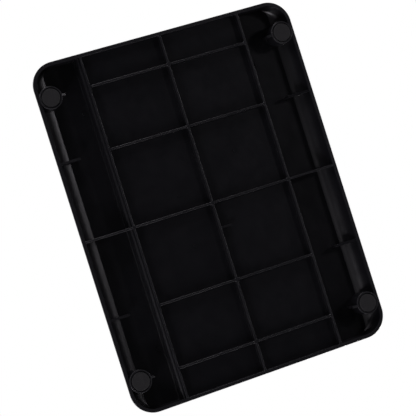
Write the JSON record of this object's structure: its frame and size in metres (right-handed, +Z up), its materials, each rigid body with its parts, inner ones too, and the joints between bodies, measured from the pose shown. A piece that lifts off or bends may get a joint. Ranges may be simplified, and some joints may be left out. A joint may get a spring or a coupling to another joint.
{
  "type": "coin display tray",
  "caption": "Low rectangular moulded tray with hollow round-shouldered side rails, ribbed underside, rubber feet and a lift-out velvet insert die-cut with square coin recesses.",
  "frame": {"origin": "on the table, under the middle of the tray, at the underside of the rubber feet", "axes": "+X along the tray's length, +Y across it, +Z up, out of the display well"},
  "size_m": [0.21, 0.1628, 0.014],
  "materials": {
    "tray_plastic": "black, fine satin grain",
    "board": "black flocked board",
    "velvet": "black short-pile velvet over foam",
    "foot_rubber": "matt dark grey rubber",
    "adhesive": "thin double-sided adhesive disc"
  },
  "bodies": {
    "tray": {"tray_body": "tray_plastic", "foot_pad_front_left": "foot_rubber", "foot_pad_front_right": "foot_rubber", "foot_pad_rear_left": "foot_rubber", "foot_pad_rear_right": "foot_rubber", "foot_adhesive_front_left": "adhesive", "foot_adhesive_front_right": "adhesive", "foot_adhesive_rear_left": "adhesive", "foot_adhesive_rear_right": "adhesive"},
    "insert": {"insert_board": "board", "insert_pad": "velvet"}
  },
  "joints": [
    {"name": "insert_lift", "type": "slide", "parent": "tray", "child": "insert", "axis": [0, 0, 1], "range_m": [0, 0.025]}
  ]
}
